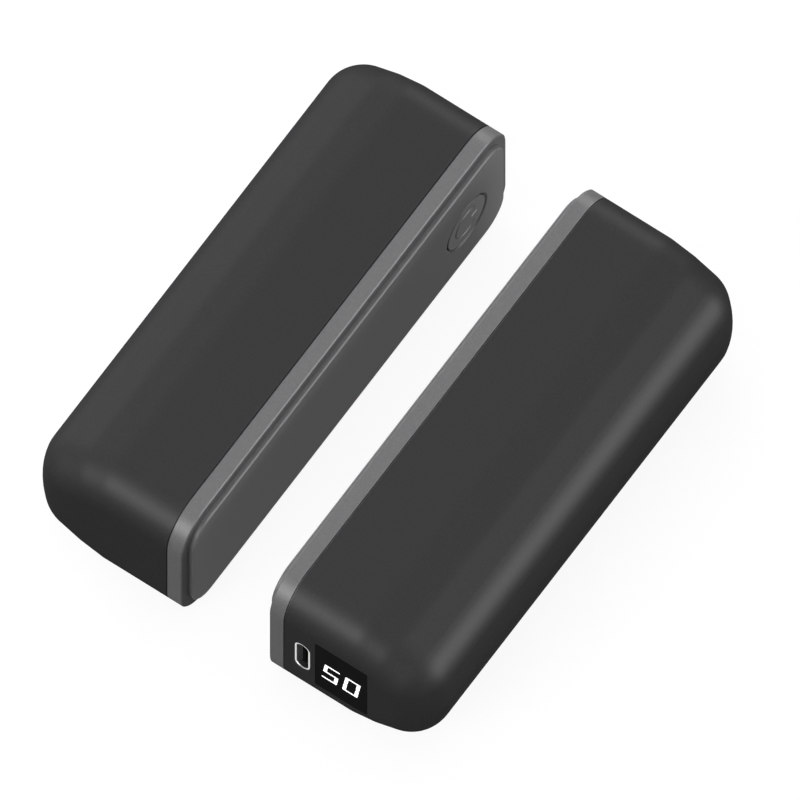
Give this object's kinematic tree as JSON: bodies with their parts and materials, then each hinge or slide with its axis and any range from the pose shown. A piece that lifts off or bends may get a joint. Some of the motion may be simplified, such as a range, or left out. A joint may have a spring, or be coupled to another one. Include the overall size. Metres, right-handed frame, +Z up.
{
  "type": "rechargeable hand warmer",
  "caption": "Rechargeable hand warmer in paired half-round magnetic halves, each with a heater, a cell, a power button, a display window and a charging socket.",
  "frame": {"origin": "Centre of the bottom of the box round both halves, on the surface that they lie on.", "axes": "+Z up; +Y along the halves, towards the left half's charging end; +X from the left half to the right half, which is the way that they part."},
  "size_m": [0.0854, 0.1, 0.0321],
  "materials": {
    "shell_black": "satin, very fine grain",
    "rim_grey": "satin metallic-grey coat",
    "panel_grey": "satin metallic-grey coat",
    "button_grey": "satin metallic-grey coat",
    "tape_black": "matte",
    "frame_plastic": "matte",
    "screw_steel": "satin",
    "magnet_nickel": "polished",
    "plunger_black": "matte",
    "switch_black": "matte",
    "board_green": "satin",
    "chip_black": "matte",
    "usb_steel": "bright",
    "usb_black": "matte",
    "contact_gilt": "bright",
    "window_dark": "gloss",
    "digit_white": "lit",
    "module_white": "matte",
    "cell_wrap": "satin",
    "tab_nickel": "satin",
    "pad_foam": "matte",
    "spreader_aluminium": "satin",
    "film_amber": "satin",
    "bead_black": "gloss",
    "lead_red": "satin",
    "lead_black": "satin",
    "lead_white": "satin"
  },
  "bodies": {
    "left_half": {"left_back_shell": "shell_black", "left_face_rim": "rim_grey", "left_face_panel": "panel_grey", "left_adhesive_frame": "tape_black", "left_inner_frame": "frame_plastic", "left_frame_screws": "screw_steel", "left_magnets": "magnet_nickel", "left_switch_body": "switch_black", "left_main_board": "board_green", "left_board_screws": "screw_steel", "left_board_chips": "chip_black", "left_usb_shell": "usb_steel", "left_usb_tongue": "usb_black", "left_usb_contacts": "contact_gilt", "left_display_window": "window_dark", "left_display_digits": "digit_white", "left_display_module": "module_white", "left_battery_cell": "cell_wrap", "left_cell_tabs": "tab_nickel", "left_cell_cradle": "frame_plastic", "left_cell_pad": "pad_foam", "left_heat_spreader": "spreader_aluminium", "left_heater_film": "film_amber", "left_thermistor": "bead_black", "left_battery_lead_red": "lead_red", "left_battery_lead_black": "lead_black", "left_heater_leads": "lead_white"},
    "right_half": {"right_back_shell": "shell_black", "right_face_rim": "rim_grey", "right_face_panel": "panel_grey", "right_adhesive_frame": "tape_black", "right_inner_frame": "frame_plastic", "right_frame_screws": "screw_steel", "right_magnets": "magnet_nickel", "right_switch_body": "switch_black", "right_main_board": "board_green", "right_board_screws": "screw_steel", "right_board_chips": "chip_black", "right_usb_shell": "usb_steel", "right_usb_tongue": "usb_black", "right_usb_contacts": "contact_gilt", "right_display_window": "window_dark", "right_display_digits": "digit_white", "right_display_module": "module_white", "right_battery_cell": "cell_wrap", "right_cell_tabs": "tab_nickel", "right_cell_cradle": "frame_plastic", "right_cell_pad": "pad_foam", "right_heat_spreader": "spreader_aluminium", "right_heater_film": "film_amber", "right_thermistor": "bead_black", "right_battery_lead_red": "lead_red", "right_battery_lead_black": "lead_black", "right_heater_leads": "lead_white"},
    "left_button": {"left_button_cap": "button_grey", "left_switch_plunger": "plunger_black"},
    "right_button": {"right_button_cap": "button_grey", "right_switch_plunger": "plunger_black"}
  },
  "joints": [
    {"name": "split_slide", "type": "slide", "parent": "left_half", "child": "right_half", "axis": [1, 0, 0], "range_m": [-0.0162, 0.0135]},
    {"name": "left_button_press", "type": "slide", "parent": "left_half", "child": "left_button", "axis": [-1, 0, 0], "range_m": [0, 0.0004], "stiffness_N_per_m": 4000},
    {"name": "right_button_press", "type": "slide", "parent": "right_half", "child": "right_button", "axis": [1, 0, 0], "range_m": [0, 0.0004], "stiffness_N_per_m": 4000}
  ]
}
